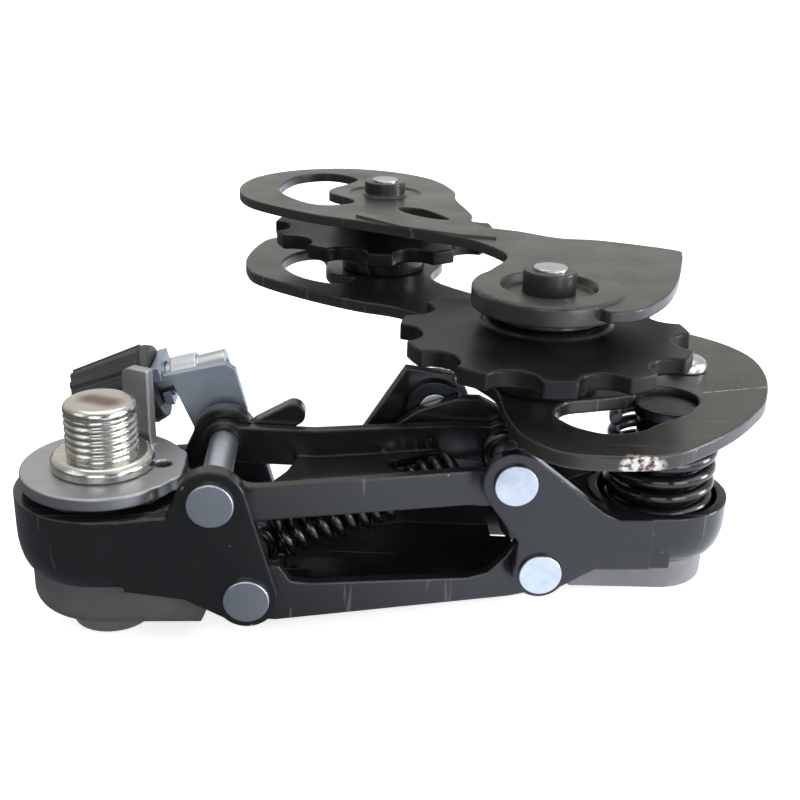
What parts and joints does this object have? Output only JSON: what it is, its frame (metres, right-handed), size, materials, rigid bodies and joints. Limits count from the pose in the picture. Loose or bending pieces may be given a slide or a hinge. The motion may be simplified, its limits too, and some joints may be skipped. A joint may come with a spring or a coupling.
{
  "type": "rear derailleur",
  "caption": "Long-cage bicycle rear derailleur: a linked body with black stamped links, a sprung cage and toothed pulleys that guide and tension the chain.",
  "frame": {"origin": "axis of the hanger bolt at the face of its ring that seats on the frame's hanger", "axes": "+Z along the hanger bolt, towards the wheel; +X from the hanger knuckle to the cage knuckle; +Y towards the tension pulley"},
  "size_m": [0.1122, 0.1172, 0.0489],
  "materials": {
    "black_paint": "gloss",
    "zinc_steel": "satin",
    "textured_plastic": "matte",
    "pulley_plastic": "gloss",
    "black_spring_steel": "gloss"
  },
  "bodies": {
    "hanger_side": {"mounting_bolt": "zinc_steel", "retaining_ring": "zinc_steel", "stop_plate": "zinc_steel", "b_spring": "black_spring_steel"},
    "hanger_body": {"b_knuckle": "black_paint", "b_cover": "textured_plastic", "adjuster_bracket": "zinc_steel", "limit_screws": "zinc_steel", "upper_left_pin": "zinc_steel", "lower_left_pin": "zinc_steel"},
    "adjuster": {"adjuster_barrel": "zinc_steel", "adjuster_knob": "textured_plastic"},
    "outer_arm": {"outer_link": "black_paint", "clamp_nut": "zinc_steel", "clamp_washer": "zinc_steel", "clamp_bolt": "zinc_steel", "return_spring": "black_spring_steel"},
    "inner_arm": {"inner_link": "black_paint"},
    "cage_body": {"p_knuckle": "black_paint", "p_cover": "textured_plastic", "p_spring": "black_spring_steel", "upper_right_pin": "zinc_steel", "lower_right_pin": "zinc_steel"},
    "cage": {"outer_cage_plate": "black_paint", "inner_cage_plate": "black_paint", "p_axle": "zinc_steel", "cage_stop_pin": "zinc_steel", "guide_bushing": "zinc_steel", "guide_dust_caps": "black_paint", "guide_bolt": "zinc_steel", "tension_bushing": "zinc_steel", "tension_dust_caps": "black_paint", "tension_bolt": "zinc_steel"},
    "guide_wheel": {"guide_pulley": "pulley_plastic"},
    "tension_wheel": {"tension_pulley": "pulley_plastic"}
  },
  "joints": [
    {"name": "hanger_pivot", "type": "hinge", "parent": "hanger_side", "child": "hanger_body", "pos_m": [0, 0, 0], "axis": [0, 0, 1], "range_deg": [0, 25], "stiffness_Nm_per_rad": 1},
    {"name": "adjuster_turn", "type": "hinge", "parent": "hanger_body", "child": "adjuster", "pos_m": [0, 0.0184, 0.0018], "axis": [0.9659, 0, 0.2588], "continuous": true},
    {"name": "outer_link_pivot", "type": "hinge", "parent": "hanger_body", "child": "outer_arm", "pos_m": [0.0203, 0, -0.0166], "axis": [0, -1, 0], "range_deg": [0, 42], "stiffness_Nm_per_rad": 1.5, "deforming": ["return_spring"]},
    {"name": "inner_link_pivot", "type": "hinge", "parent": "hanger_body", "child": "inner_arm", "pos_m": [0.0159, 0, -0.0023], "axis": [0, -1, 0], "range_deg": [0, 42]},
    {"name": "cage_body_pivot", "type": "hinge", "parent": "outer_arm", "child": "cage_body", "pos_m": [0.062, 0.007, -0.0185], "axis": [0, -1, 0], "range_deg": [-42, 0]},
    {"name": "cage_pivot", "type": "hinge", "parent": "cage_body", "child": "cage", "pos_m": [0.081, 0.009, 0], "axis": [0, 0, -1], "range_deg": [0, 130], "stiffness_Nm_per_rad": 0.3},
    {"name": "guide_spin", "type": "hinge", "parent": "cage", "child": "guide_wheel", "pos_m": [0.0633, 0.0151, 0.01185], "axis": [0, 0, 1], "continuous": true},
    {"name": "tension_spin", "type": "hinge", "parent": "cage", "child": "tension_wheel", "pos_m": [0.0414, 0.0794, 0.01185], "axis": [0, 0, 1], "continuous": true}
  ],
  "couplings": [
    {"joint": "inner_link_pivot", "follows": "outer_link_pivot", "ratio": 1},
    {"joint": "cage_body_pivot", "follows": "outer_link_pivot", "ratio": -1}
  ]
}
